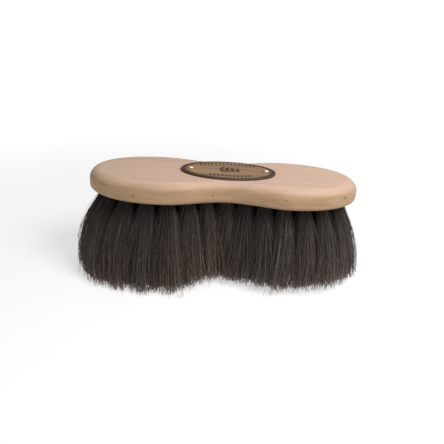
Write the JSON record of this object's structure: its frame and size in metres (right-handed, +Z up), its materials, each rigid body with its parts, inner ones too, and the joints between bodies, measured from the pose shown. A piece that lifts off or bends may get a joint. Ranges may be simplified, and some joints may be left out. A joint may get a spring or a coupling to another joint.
{
  "type": "grooming brush",
  "caption": "Waisted wooden grooming brush block with a field of long soft dark hair tufts and an oval badge on top.",
  "frame": {"origin": "under the middle of the block, in the plane of the trimmed hair ends", "axes": "+X along the block's length, +Z up through the block, away from the hair"},
  "size_m": [0.2244, 0.083, 0.086],
  "materials": {
    "wood": "sanded and lightly waxed, satin",
    "badge_leather": "smooth, burnished dark at the rim",
    "brass": "polished",
    "hair": "soft animal hair, dull",
    "anchor_wire": "bright drawn wire"
  },
  "bodies": {
    "root": {"block": "wood", "badge": "badge_leather", "badge_nail_left": "brass", "badge_nail_right": "brass", "tuft_01": "hair", "tuft_02": "hair", "tuft_03": "hair", "tuft_04": "hair", "tuft_05": "hair", "tuft_06": "hair", "tuft_07": "hair", "tuft_08": "hair", "tuft_09": "hair", "tuft_10": "hair", "tuft_11": "hair", "tuft_12": "hair", "tuft_13": "hair", "tuft_14": "hair", "tuft_15": "hair", "tuft_16": "hair", "tuft_17": "hair", "tuft_18": "hair", "tuft_19": "hair", "tuft_20": "hair", "tuft_21": "hair", "tuft_22": "hair", "tuft_23": "hair", "tuft_24": "hair", "tuft_25": "hair", "tuft_26": "hair", "tuft_27": "hair", "tuft_28": "hair", "tuft_29": "hair", "tuft_30": "hair", "tuft_31": "hair", "tuft_32": "hair", "tuft_33": "hair", "tuft_34": "hair", "tuft_35": "hair", "tuft_36": "hair", "tuft_37": "hair", "tuft_38": "hair", "tuft_39": "hair", "tuft_40": "hair", "tuft_41": "hair", "tuft_42": "hair", "tuft_43": "hair", "tuft_44": "hair", "tuft_45": "hair", "tuft_46": "hair", "tuft_47": "hair", "tuft_48": "hair", "tuft_49": "hair", "tuft_50": "hair", "tuft_51": "hair", "tuft_52": "hair", "tuft_53": "hair", "tuft_54": "hair", "tuft_55": "hair", "tuft_56": "hair"}
  },
  "joints": []
}
